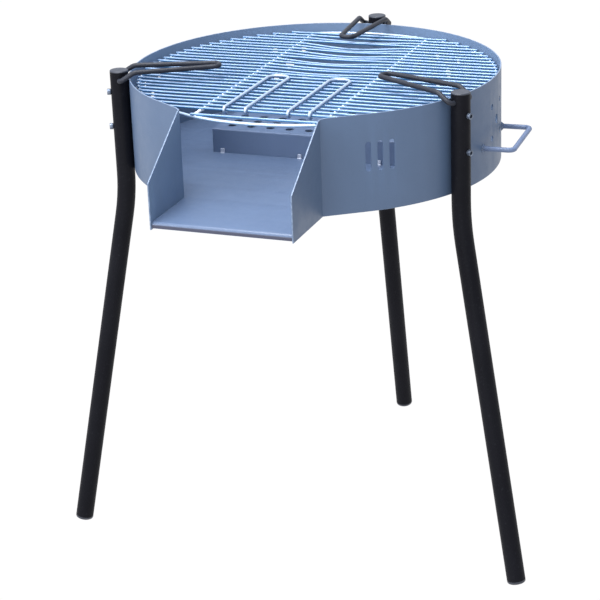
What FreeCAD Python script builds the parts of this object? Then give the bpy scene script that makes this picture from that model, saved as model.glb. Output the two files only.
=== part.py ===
import FreeCAD, Part
import math
import os
from FreeCAD import Placement, Rotation, Vector

# Round wood and charcoal barbecue on three tube legs, with an ash chute at the front,
# a lift-off wire grate and three swing-over supports for a paella pan.
# +Z is up, the chute points to -Y, the ground is z = 0, lengths are millimetres.

doc = FreeCAD.newDocument("round_barbecue")
sheet = doc.addObject("Spreadsheet::Sheet", "Sizes")

SIZES = [
    # where the drum axis stands in the part's own frame
    ("axis_shift", -17.42, "drum axis, distance along Y from the origin"),
    # drum band, folded into the two chute cheeks
    ("drum_radius", 300.0, "outer radius of the drum band"),
    ("sheet_gauge", 2.0, "thickness of all sheet"),
    ("rim_height", 785.0, "height of the drum rim"),
    ("band_bottom", 633.0, "height of the band's lower edge"),
    ("band_end_angle", 34.63, "where the band turns straight, either side of the chute axis"),
    ("chute_half_width", 114.0, "outer half width of the chute"),
    ("chute_reach", 409.0, "drum axis to the front edge of the cheeks"),
    ("cheek_front_top", 705.0, "height of the cheek's front upper corner"),
    ("fold_radius", 3.0, "inner radius of the cheek folds"),
    # vent holes and plain slots
    ("vent_first_angle", 2.4, "azimuth of the first vent group"),
    ("vent_step_angle", 58.4, "angle between vent groups"),
    ("vent_height", 714.5, "height of a vent group's centre"),
    ("vent_big_radius", 7.5, "centre hole of a vent group"),
    ("vent_small_radius", 4.8, "corner holes of a vent group"),
    ("vent_spread", 25.5, "half spacing of the corner holes"),
    ("slot_angle", -51.0, "azimuth of the three plain slots"),
    ("slot_height", 719.0, "height of the slots' centre"),
    ("slot_half_length", 23.0, "half length of a slot"),
    ("slot_half_width", 4.5, "half width of a slot"),
    ("slot_pitch", 19.0, "distance between slots"),
    # floor with chute plate and folded lip
    ("floor_top", 645.0, "height of the floor's upper face"),
    ("floor_gap", 0.3, "gap between floor and band"),
    ("lip_setback", 1.5, "lip face behind the cheek edges"),
    ("lip_bottom", 635.5, "height of the lip's lower edge"),
    ("lip_bend", 6.0, "outer radius of the lip bend"),
    # ember tray and its stops
    ("tray_left", -163.0, "left end of the ember tray"),
    ("tray_width", 322.0, "length of the ember tray along X"),
    ("tray_front", -55.0, "front face of the ember tray"),
    ("tray_depth", 162.0, "depth of the ember tray along Y"),
    ("tray_rise", 40.0, "height of the ember tray"),
    ("tray_hole_radius", 7.0, "round holes in the tray"),
    ("tray_hole_margin", 26.2, "first hole from the tray's end"),
    ("tray_hole_pitch", 33.7, "hole pitch along X"),
    ("tray_row_margin", 25.0, "first row from the tray's front"),
    ("tray_row_pitch", 28.0, "hole pitch along Y"),
    ("tab_width", 7.0, "width of a stop tab"),
    ("tab_rise", 7.5, "height of a stop tab"),
    # side handle
    ("handle_angle", 2.6, "azimuth of the side handle"),
    ("handle_height", 683.0, "height of the side handle"),
    ("handle_half_width", 64.0, "half distance between the handle's arms"),
    ("handle_reach", 341.0, "drum axis to the handle's grip"),
    ("rod_radius", 4.0, "radius of the handle and support rods"),
    # legs
    ("leg_axis_radius", 315.05, "drum axis to the upper leg's axis"),
    ("leg_spread", 64.6, "front legs, either side of the chute axis"),
    ("leg_outer_radius", 15.0, "outer radius of the leg tube"),
    ("leg_wall", 1.5, "wall of the leg tube"),
    ("leg_top", 794.5, "height of the tube's upper end"),
    ("leg_bend_height", 590.0, "height of the bend's corner"),
    ("leg_bend_radius", 375.0, "radius of the bend"),
    ("foot_radius", 430.0, "drum axis to the foot at ground level"),
    ("foot_end_height", 1.85, "height of the foot end's centre"),
    ("foot_cap_thick", 5.0, "thickness of the foot cap's head"),
    ("top_cap_thick", 2.6, "thickness of the top cap's head"),
    ("cap_plug", 7.0, "length of a cap's plug inside the tube"),
    # screws
    ("screw_high", 761.5, "height of the upper screws"),
    ("screw_low", 704.0, "height of the lower screws"),
    ("screw_radius", 3.0, "thread radius"),
    ("screw_hole_radius", 3.3, "clearance hole radius"),
    ("screw_head_radius", 5.0, "socket head radius"),
    ("screw_head_rise", 6.0, "socket head height"),
    ("screw_long", 45.0, "length of the upper screws"),
    ("screw_short", 45.0, "length of the lower screws"),
    ("nut_flats", 10.0, "nut width across flats"),
    ("nut_thick", 10.0, "nut thickness; the upper nuts carry the grate"),
    ("washer_radius", 6.0, "washer radius"),
    ("washer_thick", 1.6, "washer thickness"),
    # wire grate
    ("grate_x", 3.0, "grate centre along X"),
    ("grate_y", 2.0, "grate centre along Y from the drum axis"),
    ("grate_ring_radius", 288.0, "ring centreline radius"),
    ("ring_wire_radius", 2.5, "ring wire radius"),
    ("ring_gap", 0.05, "ring above the upper nuts"),
    ("rung_radius", 2.0, "rung wire radius"),
    ("weld_bite", 0.15, "depth of a resistance weld"),
    ("rung_first", -235.0, "pivot rung along Y from the drum axis"),
    ("rung_pitch", 18.2, "rung pitch"),
    ("rung_front", -269.5, "front rung along Y from the drum axis"),
    ("rung_tip_radius", 291.0, "radius that the rung tips reach"),
    ("cross_bar_offset", 103.5, "cross bars, either side of the grate centre"),
    # folding grate handles
    ("loop_wire_radius", 2.5, "wire radius of the folding handles"),
    ("loop_half_width", 17.5, "half distance between a handle's wires"),
    ("loop_left_x", -41.5, "centre of the left handle"),
    ("loop_right_x", 62.5, "centre of the right handle"),
    ("loop_length", 190.0, "pivot rung to the handle's far end"),
    ("loop_corner", 14.0, "corner radius of the handle's far end"),
    ("pivot_gap", 0.06, "running clearance at the pivots"),
    # pan supports
    ("support_hinge_height", 782.0, "height of the support's hinge axis"),
    ("support_half_width", 24.0, "half distance between the arms at the rim"),
    ("support_level", 796.5, "height of the level part's axis"),
    ("support_rise_angle", 30.9, "slope of the arms over the rim"),
    ("support_tip_radius", 154.0, "drum axis to the tip"),
    ("support_tip_half", 11.0, "half distance between the arms at the tip"),
    ("support_rod_start", 4.0, "rod ends, either side of the tube's axis"),
]

for row, (alias, value, note) in enumerate(SIZES, 1):
    sheet.set("A%d" % row, note)
    sheet.set("B%d" % row, str(value))
    sheet.setAlias("B%d" % row, alias)
doc.recompute()


def size(alias):
    return float(sheet.get(alias))


def bind(thing, prop, text):
    """Bind a property to an expression in which every sheet alias is spelt as a plain word."""
    for alias in sorted((s[0] for s in SIZES), key=len, reverse=True):
        text = text.replace("@" + alias + "@", "Sizes." + alias)
    thing.setExpression(prop, text)


NODES = []
axis_y = size("axis_shift")


def about_axis(azimuth=0.0):
    """The drum's own frame, turned so that local X points to the azimuth."""
    return Placement(Vector(0, axis_y, 0), Rotation(Vector(0, 0, 1), azimuth))


def own_plane(body, role):
    return [f for f in body.Origin.OriginFeatures if f.Role == role][0]


def new_body(label, place=None):
    body = doc.addObject("PartDesign::Body", label)
    body.Label = label
    if place is not None:
        body.Placement = place
    NODES.append(body)
    return body


def new_sketch(body, name, role, offset=None):
    sk = body.newObject("Sketcher::SketchObject", name)
    sk.AttachmentSupport = [(own_plane(body, role), "")]
    sk.MapMode = "FlatFace"
    if offset is not None:
        sk.AttachmentOffset = offset
    return sk


def line(a, b):
    return Part.LineSegment(Vector(a[0], a[1], 0), Vector(b[0], b[1], 0))


def arc(centre, radius, start, end):
    return Part.ArcOfCircle(
        Part.Circle(Vector(centre[0], centre[1], 0), Vector(0, 0, 1), radius),
        math.radians(start),
        math.radians(end),
    )


def circle(centre, radius):
    return Part.Circle(Vector(centre[0], centre[1], 0), Vector(0, 0, 1), radius)


def outline(sk, pieces, closed=True):
    """Add a chain of edges and make each joint coincident."""
    import Sketcher

    first = sk.GeometryCount
    for p in pieces:
        sk.addGeometry(p, False)
    n = len(pieces)
    for i in range(n if closed else n - 1):
        a, b = first + i, first + (i + 1) % n
        best = min(
            ((sk.getPoint(a, p) - sk.getPoint(b, q)).Length, p, q)
            for p in (1, 2)
            for q in (1, 2)
        )
        sk.addConstraint(Sketcher.Constraint("Coincident", a, best[1], b, best[2]))
    return first


def drive(sk, kind, where, text):
    """Add a driving dimension and bind it to the sheet."""
    import Sketcher

    index = sk.addConstraint(Sketcher.Constraint(kind, *where))
    bind(sk, "Constraints[%d]" % index, text)
    return index


def cut_pocket(body, sk, name, length, reverse=False, both=False):
    """Pocket whose direction is proved by the loss of volume."""
    doc.recompute()
    before = body.Shape.Volume
    pocket = body.newObject("PartDesign::Pocket", name)
    pocket.Profile = sk
    pocket.Type = 0
    bind(pocket, "Length", length)
    if both:
        if hasattr(pocket, "SideType"):
            pocket.SideType = "Symmetric"
        else:
            pocket.Midplane = True
    pocket.Reversed = reverse
    doc.recompute()
    if not pocket.Shape.Volume < before - 0.01:
        raise RuntimeError("%s removes nothing" % name)
    return pocket


# ---------------------------------------------------------------- drum band with chute cheeks
R = size("drum_radius")
T = size("sheet_gauge")
BETA = math.radians(size("band_end_angle"))
W = size("chute_half_width")
REACH = size("chute_reach")
SIN, COS = math.sin(BETA), math.cos(BETA)
TURN = math.pi / 2 - BETA


def band_face(radius, half, fold, front):
    """Edges of one face of the band, from the right cheek's front edge round to the left one."""
    touch = (radius * SIN, -radius * COS)
    corner_y = (half * SIN - radius) / COS
    tl = fold * math.tan(TURN / 2)
    low = (half, corner_y - tl)
    high = (half + tl * COS, corner_y + tl * SIN)
    centre = (half + fold, corner_y - tl)
    mid = math.degrees(TURN)
    right = [line((half, -front), low), arc(centre, fold, 180.0 - mid, 180.0), line(high, touch)]
    edge = math.degrees(BETA)
    big = arc((0, 0), radius, -90.0 + edge, 270.0 - edge)
    m = lambda p: (-p[0], p[1])
    left = [line(m(touch), m(high)), arc(m(centre), fold, 0.0, mid), line(m(low), (-half, -front))]
    return right, big, left


drum = new_body("drum_wall", about_axis())
sk = new_sketch(drum, "band_profile", "XY_Plane")
bind(sk, "AttachmentOffset.Base.z", "@band_bottom@")
r1, b1, l1 = band_face(R, W, size("fold_radius"), REACH)
r2, b2, l2 = band_face(R - T, W - T, size("fold_radius") + T, REACH)
outer = r1 + [b1] + l1
inner = [e for e in (l2[::-1] + [b2] + r2[::-1])]
end_left = line((-W, -REACH), (-(W - T), -REACH))
end_right = line((W - T, -REACH), (W, -REACH))
outline(sk, outer + [end_left] + inner + [end_right])
drive(sk, "Radius", (3, R), "@drum_radius@")
drive(sk, "Radius", (11, R - T), "@drum_radius@ - @sheet_gauge@")
pad = drum.newObject("PartDesign::Pad", "band_pad")
pad.Profile = sk
pad.Type = 0
bind(pad, "Length", "@rim_height@ - @band_bottom@")
doc.recompute()

# cheek tops: a short easy step at the rim, then a straight fall to the front corner
rim = size("rim_height")
front_top = size("cheek_front_top")
corner_y = (W * SIN - R) / COS
knee = (corner_y - 6.0, rim - 2.6)
slope = (knee[1] - front_top) / (knee[0] + REACH)
sk = new_sketch(drum, "cheek_slope", "YZ_Plane")
far = -REACH - 12.0
outline(
    sk,
    [
        line((corner_y + 5.0, rim), knee),
        line(knee, (far, front_top - slope * 12.0)),
        line((far, front_top - slope * 12.0), (far, rim + 20.0)),
        line((far, rim + 20.0), (corner_y + 5.0, rim + 20.0)),
        line((corner_y + 5.0, rim + 20.0), (corner_y + 5.0, rim)),
    ],
)
cut_pocket(drum, sk, "cheek_cut", "4 * @chute_half_width@", both=True)


def radial_sketch(name, azimuth_text, azimuth):
    """Sketch plane through the drum axis, facing out at an azimuth."""
    s = new_sketch(
        drum, name, "YZ_Plane", Placement(Vector(0, 0, 0), Rotation(Vector(0, 1, 0), azimuth))
    )
    bind(s, "AttachmentOffset.Rotation.Angle", azimuth_text)
    return s


# vent holes: a large one with four small ones round it, four groups on the rear half
sk = radial_sketch("vent_holes", "@vent_first_angle@", size("vent_first_angle"))
vz, vs = size("vent_height"), size("vent_spread")
sk.addGeometry(circle((0, vz), size("vent_big_radius")), False)
drive(sk, "Radius", (0, size("vent_big_radius")), "@vent_big_radius@")
for k, (u, v) in enumerate(((-vs, -vs), (vs, -vs), (vs, vs), (-vs, vs)), 1):
    sk.addGeometry(circle((u, vz + v), size("vent_small_radius")), False)
    drive(sk, "Radius", (k, size("vent_small_radius")), "@vent_small_radius@")
vent = cut_pocket(drum, sk, "vent_cut", "@drum_radius@ + 20", reverse=True)
pattern = drum.newObject("PartDesign::PolarPattern", "vent_pattern")
pattern.Originals = [vent]
pattern.Axis = (own_plane(drum, "Z_Axis"), [""])
bind(pattern, "Angle", "3 * @vent_step_angle@")
pattern.Occurrences = 4
drum.Tip = pattern
before = drum.Shape.Volume
doc.recompute()

# three plain upright slots on the front right
sk = radial_sketch("plain_slots", "@slot_angle@", size("slot_angle"))
sz, sh, sw, sp = (size(k) for k in ("slot_height", "slot_half_length", "slot_half_width", "slot_pitch"))
for u in (-sp, 0.0, sp):
    outline(
        sk,
        [
            line((u + sw, sz - sh + sw), (u + sw, sz + sh - sw)),
            arc((u, sz + sh - sw), sw, 0, 180),
            line((u - sw, sz + sh - sw), (u - sw, sz - sh + sw)),
            arc((u, sz - sh + sw), sw, 180, 360),
        ],
    )
cut_pocket(drum, sk, "slot_cut", "@drum_radius@ + 20", reverse=True)

# screw holes behind the three legs
LEGS = [
    ("front_left", -90.0 - size("leg_spread"), "-90 - @leg_spread@"),
    ("front_right", -90.0 + size("leg_spread"), "-90 + @leg_spread@"),
    ("rear", 90.0, "90"),
]
for name, az, text in LEGS:
    sk = radial_sketch("screw_holes_" + name, text, az)
    for k, level in enumerate(("screw_high", "screw_low")):
        sk.addGeometry(circle((0, size(level)), size("screw_hole_radius")), False)
        drive(sk, "Radius", (k, size("screw_hole_radius")), "@screw_hole_radius@")
    cut_pocket(drum, sk, "screw_cut_" + name, "@drum_radius@ + 20", reverse=True)

# ---------------------------------------------------------------- floor, chute plate and lip
gap = size("floor_gap")
floor = new_body("drum_floor", about_axis())
sk = new_sketch(floor, "floor_outline", "XY_Plane")
bind(sk, "AttachmentOffset.Base.z", "@floor_top@ - @sheet_gauge@")
plate_front = REACH - size("lip_setback") - size("lip_bend")
rf, bf, lf = band_face(R - T - gap, W - T - gap, size("fold_radius") + T + gap, plate_front)
outline(sk, rf + [bf] + lf + [line((-(W - T - gap), -plate_front), (W - T - gap, -plate_front))])
drive(sk, "Radius", (3, R - T - gap), "@drum_radius@ - @sheet_gauge@ - @floor_gap@")
pad = floor.newObject("PartDesign::Pad", "floor_pad")
pad.Profile = sk
pad.Type = 0
bind(pad, "Length", "@sheet_gauge@")
doc.recompute()

sk = new_sketch(floor, "lip_profile", "YZ_Plane")
ft, bend, lb = size("floor_top"), size("lip_bend"), size("lip_bottom")
py = -plate_front
outline(
    sk,
    [
        line((py + 1.0, ft - T), (py + 1.0, ft)),
        line((py + 1.0, ft), (py, ft)),
        arc((py, ft - bend), bend, 90, 180),
        line((py - bend, ft - bend), (py - bend, lb)),
        line((py - bend, lb), (py - bend + T, lb)),
        line((py - bend + T, lb), (py - bend + T, ft - bend)),
        arc((py, ft - bend), bend - T, 90, 180),
        line((py, ft - T), (py + 1.0, ft - T)),
    ],
)
drive(sk, "Radius", (2, bend), "@lip_bend@")
lip = floor.newObject("PartDesign::Pad", "lip_pad")
lip.Profile = sk
lip.Type = 0
if hasattr(lip, "SideType"):
    lip.SideType = "Symmetric"
else:
    lip.Midplane = True
bind(lip, "Length", "2 * (@chute_half_width@ - @sheet_gauge@ - @floor_gap@)")
doc.recompute()

# ---------------------------------------------------------------- ember tray, an inverted perforated box
tx, tw, ty, td, tr = (size(k) for k in ("tray_left", "tray_width", "tray_front", "tray_depth", "tray_rise"))
tray = new_body("ember_tray", Placement(Vector(tx, ty + axis_y, ft + 0.05), Rotation()))


def rectangle(sk, x0, y0, x1, y1):
    return outline(
        sk, [line((x0, y0), (x1, y0)), line((x1, y0), (x1, y1)), line((x1, y1), (x0, y1)), line((x0, y1), (x0, y0))]
    )


sk = new_sketch(tray, "tray_outline", "XY_Plane")
rectangle(sk, 0, 0, tw, td)
drive(sk, "DistanceX", (0, 1, 0, 2, tw), "@tray_width@")
drive(sk, "DistanceY", (1, 1, 1, 2, td), "@tray_depth@")
pad = tray.newObject("PartDesign::Pad", "tray_pad")
pad.Profile = sk
pad.Type = 0
bind(pad, "Length", "@tray_rise@")
doc.recompute()
top_edges = []
for i, e in enumerate(pad.Shape.Edges, 1):
    if all(abs(v.Point.z - tr) < 0.01 for v in e.Vertexes) or abs(e.Vertexes[0].Point.z - e.Vertexes[-1].Point.z) > 1:
        top_edges.append("Edge%d" % i)
fillet = tray.newObject("PartDesign::Fillet", "tray_bends")
fillet.Base = (pad, top_edges)
bind(fillet, "Radius", "@sheet_gauge@ + 0.5")
doc.recompute()
sk = new_sketch(tray, "tray_hollow", "XY_Plane")
rectangle(sk, T, T, tw - T, td - T)
drive(sk, "DistanceX", (0, 1, 0, 2, tw - 2 * T), "@tray_width@ - 2 * @sheet_gauge@")
cut_pocket(tray, sk, "tray_inside", "@tray_rise@ - @sheet_gauge@", reverse=True)
sk = new_sketch(tray, "tray_holes", "XY_Plane")
for k in range(9):
    sk.addGeometry(
        circle((size("tray_hole_margin") + k * size("tray_hole_pitch"), size("tray_row_margin")), size("tray_hole_radius")),
        False,
    )
    drive(sk, "Radius", (k, size("tray_hole_radius")), "@tray_hole_radius@")
row_cut = cut_pocket(tray, sk, "tray_row", "@tray_rise@ + 5", reverse=True)
rows = tray.newObject("PartDesign::LinearPattern", "tray_rows")
rows.Originals = [row_cut]
rows.Direction = (own_plane(tray, "Y_Axis"), [""])
rows.Occurrences = 5
bind(rows, "Length", "4 * @tray_row_pitch@")
tray.Tip = rows
doc.recompute()

# three small tabs welded to the floor in front of the tray
tabs = []
for k, x in enumerate((-145.0, -10.0, 125.0)):
    tab = doc.addObject("Part::Box", "stop_tab_%d" % (k + 1))
    bind(tab, "Length", "@tab_width@")
    bind(tab, "Width", "@sheet_gauge@")
    bind(tab, "Height", "@tab_rise@")
    tab.Placement = Placement(Vector(x - size("tab_width") / 2, ty + axis_y - T - 0.3, ft), Rotation())
    tabs.append(tab)


def group(label, parts):
    thing = doc.addObject("Part::Compound", label)
    thing.Label = label
    thing.Links = parts
    NODES.append(thing)
    return thing


group("tray_stop_tabs", tabs)


# ---------------------------------------------------------------- round rod along straight runs and tangent arcs
def rounded_path(points, radii):
    """Wire through points, each inner corner replaced by a tangent arc of its radius."""
    pts = [Vector(*p) for p in points]
    edges, here = [], pts[0]
    length = 0.0
    for i in range(1, len(pts) - 1):
        a = (pts[i - 1] - pts[i]).normalize()
        b = (pts[i + 1] - pts[i]).normalize()
        turn = math.pi - a.getAngle(b)
        r = radii[i - 1]
        reach = r * math.tan(turn / 2)
        start, end = pts[i] + a * reach, pts[i] + b * reach
        middle = pts[i] + (a + b).normalize() * (r / math.cos(turn / 2) - r)
        if (start - here).Length > 1e-6:
            edges.append(Part.LineSegment(here, start).toShape())
            length += (start - here).Length
        edges.append(Part.Arc(start, middle, end).toShape())
        length += r * turn
        here = end
    edges.append(Part.LineSegment(here, pts[-1]).toShape())
    length += (pts[-1] - here).Length
    return edges, length


def rod(label, edges, length, radius_text, radius, place):
    """Solid rod: a circle swept along a chain of edges."""
    spine = doc.addObject("Part::Feature", label + "_line")
    spine.Shape = Part.Wire(edges)
    first = edges[0]
    p0 = first.valueAt(first.FirstParameter)
    t0 = first.tangentAt(first.FirstParameter)
    section = doc.addObject("Part::Circle", label + "_section")
    bind(section, "Radius", radius_text)
    section.Placement = Placement(p0, Rotation(Vector(0, 0, 1), t0))
    sweep = doc.addObject("Part::Sweep", label)
    sweep.Label = label
    sweep.Sections = [section]
    sweep.Spine = (spine, ["Edge%d" % (i + 1) for i in range(len(edges))])
    sweep.Solid = True
    sweep.Frenet = False
    doc.recompute()
    sweep.Placement = place
    doc.recompute()
    want = math.pi * radius**2 * length
    if abs(sweep.Shape.Volume - want) > 0.01 * want:
        raise RuntimeError("%s volume %.1f, expected %.1f" % (label, sweep.Shape.Volume, want))
    NODES.append(sweep)
    return sweep


# ---------------------------------------------------------------- side handle, a bent rod welded to the band
hw, hr, hz = size("handle_half_width"), size("handle_reach"), size("handle_height")
root = math.sqrt(R * R - (hw + size("rod_radius")) ** 2) + 0.25
e, length = rounded_path([(root, -hw, hz), (hr, -hw, hz), (hr, hw, hz), (root, hw, hz)], [9.0, 9.0])
rod("side_handle", e, length, "@rod_radius@", size("rod_radius"), about_axis(size("handle_angle")))

# ---------------------------------------------------------------- legs, caps and feet
la, lt, lbz, fr = (size(k) for k in ("leg_axis_radius", "leg_top", "leg_bend_height", "foot_radius"))
slant = Vector(fr - la, 0, -lbz)
slant.normalize()
TILT = math.degrees(math.atan2(slant.x, -slant.z))
foot_run = (lbz - size("foot_end_height")) / -slant.z
foot_end = Vector(la, 0, lbz) + slant * foot_run
tube_end = foot_end - slant * size("foot_cap_thick")
bend_r = size("leg_bend_radius")
bend_tl = bend_r * math.tan(math.radians(TILT) / 2)
ro, rw = size("leg_outer_radius"), size("leg_wall")

for name, az, text in LEGS:
    leg = new_body("leg_" + name, about_axis(az))
    path = new_sketch(leg, "leg_path_" + name, "XZ_Plane")
    b0 = (la, lbz + bend_tl)
    b1p = (la + bend_tl * slant.x, lbz + bend_tl * slant.z)
    outline(
        path,
        [
            line((la, lt), b0),
            arc((la + bend_r, lbz + bend_tl), bend_r, 180.0, 180.0 + TILT),
            line(b1p, (tube_end.x, tube_end.z)),
        ],
        closed=False,
    )
    drive(path, "Radius", (1, bend_r), "@leg_bend_radius@")
    section = new_sketch(leg, "leg_section_" + name, "XY_Plane")
    bind(section, "AttachmentOffset.Base.z", "@leg_top@")
    section.addGeometry(circle((la, 0), ro), False)
    section.addGeometry(circle((la, 0), ro - rw), False)
    drive(section, "Radius", (0, ro), "@leg_outer_radius@")
    drive(section, "Radius", (1, ro - rw), "@leg_outer_radius@ - @leg_wall@")
    doc.recompute()
    pipe = leg.newObject("PartDesign::AdditivePipe", "leg_tube_" + name)
    pipe.Profile = section
    pipe.Spine = (path, ["Edge1", "Edge2", "Edge3"])
    doc.recompute()
    want = math.pi * (ro**2 - (ro - rw) ** 2)
    want *= (lt - b0[1]) + bend_r * math.radians(TILT) + (Vector(b1p[0], 0, b1p[1]) - tube_end).Length
    if abs(leg.Shape.Volume - want) > 0.01 * want:
        raise RuntimeError("leg volume %.1f, expected %.1f" % (leg.Shape.Volume, want))
    # screw holes right through the tube, and the cross hole that carries the support's rod ends
    sk = new_sketch(leg, "leg_screw_holes_" + name, "YZ_Plane")
    for k, level in enumerate(("screw_high", "screw_low")):
        sk.addGeometry(circle((0, size(level)), size("screw_hole_radius")), False)
        drive(sk, "Radius", (k, size("screw_hole_radius")), "@screw_hole_radius@")
    cut_pocket(leg, sk, "leg_screw_cut_" + name, "@leg_axis_radius@ + 60", reverse=True)
    sk = new_sketch(leg, "leg_hinge_hole_" + name, "XZ_Plane")
    hinge_r = size("rod_radius") + size("pivot_gap")
    sk.addGeometry(circle((la, size("support_hinge_height")), hinge_r), False)
    drive(sk, "Radius", (0, hinge_r), "@rod_radius@ + @pivot_gap@")
    cut_pocket(leg, sk, "leg_hinge_cut_" + name, "80", both=True)

for name, az, text in LEGS:
    cap = new_body("leg_cap_" + name, about_axis(az))
    sk = new_sketch(cap, "cap_profile_" + name, "XZ_Plane")
    th, plug = size("top_cap_thick"), size("cap_plug")
    z0 = lt + 0.05
    pr = ro - rw - 0.05
    outline(
        sk,
        [
            line((la, z0 + th), (la + ro - 2.0, z0 + th - 0.25)),
            arc((la + ro - 1.6, z0 + th - 1.85), 1.6, 0, 90),
            line((la + ro, z0 + th - 1.85), (la + ro, z0)),
            line((la + ro, z0), (la + pr, z0)),
            line((la + pr, z0), (la + pr, z0 - plug)),
            line((la + pr, z0 - plug), (la, z0 - plug)),
            line((la, z0 - plug), (la, z0 + th)),
        ],
    )
    axis_line = 6
    rev = cap.newObject("PartDesign::Revolution", "cap_turned_" + name)
    rev.Profile = sk
    rev.ReferenceAxis = (sk, ["Edge7"])
    rev.Angle = 360.0
    doc.recompute()

for name, az, text in LEGS:
    # turned plug with a rounded edge, then ground flat where it stands
    blank = doc.addObject("PartDesign::Body", "foot_blank_" + name)
    blank.Label = "foot_blank_" + name
    blank.Placement = about_axis(az).multiply(
        Placement(tube_end, Rotation(Vector(0, 0, -1), slant))
    )
    sk = new_sketch(blank, "foot_profile_" + name, "XZ_Plane")
    ct, plug = size("foot_cap_thick"), size("cap_plug")
    pr = ro - rw - 0.05
    outline(
        sk,
        [
            line((0, -ct), (ro - 3.0, -ct)),
            arc((ro - 3.0, -ct + 3.0), 3.0, 270, 360),
            line((ro, -ct + 3.0), (ro, -0.05)),
            line((ro, -0.05), (pr, -0.05)),
            line((pr, -0.05), (pr, plug)),
            line((pr, plug), (0, plug)),
            line((0, plug), (0, -ct)),
        ],
    )
    rev = blank.newObject("PartDesign::Revolution", "foot_turned_" + name)
    rev.Profile = sk
    rev.ReferenceAxis = (sk, ["Edge7"])
    rev.Angle = 360.0
    ground = doc.addObject("Part::Box", "ground_" + name)
    ground.Length, ground.Width, ground.Height = 80, 80, 20
    ground.Placement = about_axis(az).multiply(Placement(Vector(fr - 40, -40, -20), Rotation()))
    cap = doc.addObject("Part::Cut", "foot_cap_" + name)
    cap.Label = "foot_cap_" + name
    cap.Base = blank
    cap.Tool = ground
    doc.recompute()
    NODES.append(cap)

# ---------------------------------------------------------------- socket screws, washers and nuts
head_seat = la + ro + 0.05
wall_seat = math.sqrt((R - T) ** 2 - size("washer_radius") ** 2) - 0.05


def radial_cylinder(name, az, level, outer_end, length_text, radius_text):
    """Cylinder along the radius, whose outer end is at a distance from the drum axis."""
    c = doc.addObject("Part::Cylinder", name)
    bind(c, "Height", length_text)
    bind(c, "Radius", radius_text)
    c.Placement = about_axis(az).multiply(
        Placement(Vector(outer_end, 0, size(level)), Rotation(Vector(0, 0, 1), Vector(-1, 0, 0)))
    )
    return c


def hexagon(name, az, level, outer_end, flats_text, length_text, flat_up=False):
    h_ = doc.addObject("Part::Prism", name)
    h_.Polygon = 6
    bind(h_, "Circumradius", flats_text + " / sqrt(3)")
    bind(h_, "Height", length_text)
    h_.Placement = about_axis(az).multiply(
        Placement(
            Vector(outer_end, 0, size(level)),
            Rotation(Vector(0, 0, 1), Vector(-1, 0, 0)).multiply(Rotation(Vector(0, 0, 1), 30.0 if flat_up else 0.0)),
        )
    )
    return h_


for label, level, shank in (("leg_screws_upper", "screw_high", "screw_long"), ("leg_screws_lower", "screw_low", "screw_short")):
    screws = []
    for name, az, text in LEGS:
        tag = label + "_" + name
        head = radial_cylinder(tag + "_head", az, level, head_seat + size("screw_head_rise"), "@screw_head_rise@", "@screw_head_radius@")
        body_ = radial_cylinder(tag + "_shank", az, level, head_seat + 1.0, "@%s@ + 1" % shank, "@screw_radius@")
        socket = hexagon(tag + "_socket", az, level, head_seat + size("screw_head_rise") + 1.0, "5.0", "4.2")
        solid = doc.addObject("Part::Fuse", tag + "_solid")
        solid.Base, solid.Tool = head, body_
        screw = doc.addObject("Part::Cut", tag)
        screw.Base, screw.Tool = solid, socket
        screws.append(screw)
    group(label, screws)

washers, nuts = [], []
for name, az, text in LEGS:
    for level in ("screw_high", "screw_low"):
        tag = name + "_" + level
        disc = radial_cylinder("washer_disc_" + tag, az, level, wall_seat, "@washer_thick@", "@washer_radius@")
        bore = radial_cylinder("washer_bore_" + tag, az, level, wall_seat + 1, "@washer_thick@ + 2", "@screw_radius@ + 0.2")
        washer = doc.addObject("Part::Cut", "washer_" + tag)
        washer.Base, washer.Tool = disc, bore
        washers.append(washer)
        seat = wall_seat - size("washer_thick") - 0.05
        block = hexagon("nut_block_" + tag, az, level, seat, "@nut_flats@", "@nut_thick@", True)
        bore = radial_cylinder("nut_bore_" + tag, az, level, seat + 1, "@nut_thick@ + 2", "@screw_radius@ + 0.05")
        nut = doc.addObject("Part::Cut", "nut_" + tag)
        nut.Base, nut.Tool = block, bore
        nuts.append(nut)
group("wall_washers", washers)
group("wall_nuts", nuts)

# ---------------------------------------------------------------- wire grate on the upper nuts
gx, gy = size("grate_x"), size("grate_y") + axis_y
ring_z = size("screw_high") + size("nut_flats") / 2 + size("ring_gap") + size("ring_wire_radius")
rung_z = ring_z + size("ring_wire_radius") + size("rung_radius") - size("weld_bite")
ring = doc.addObject("Part::Torus", "grate_ring")
ring.Label = "grate_ring"
bind(ring, "Radius1", "@grate_ring_radius@")
bind(ring, "Radius2", "@ring_wire_radius@")
ring.Placement = Placement(Vector(gx, gy, ring_z), Rotation())
NODES.append(ring)


def wire_x(name, y, radius_text):
    half = math.sqrt(size("rung_tip_radius") ** 2 - (y - size("grate_y")) ** 2)
    c = doc.addObject("Part::Cylinder", name)
    bind(c, "Radius", radius_text)
    bind(c, "Height", "2 * sqrt(@rung_tip_radius@^2 - (%r - @grate_y@)^2)" % y)
    c.Placement = Placement(Vector(gx - half, y + axis_y, rung_z), Rotation(Vector(0, 0, 1), Vector(1, 0, 0)))
    return c


rung_ys = [size("rung_front")]
y = size("rung_first")
while y < size("grate_y") + size("grate_ring_radius") - 20.0:
    rung_ys.append(y)
    y += size("rung_pitch")
group("grate_rungs", [wire_x("rung_%02d" % k, yy, "@rung_radius@") for k, yy in enumerate(rung_ys)])

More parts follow.
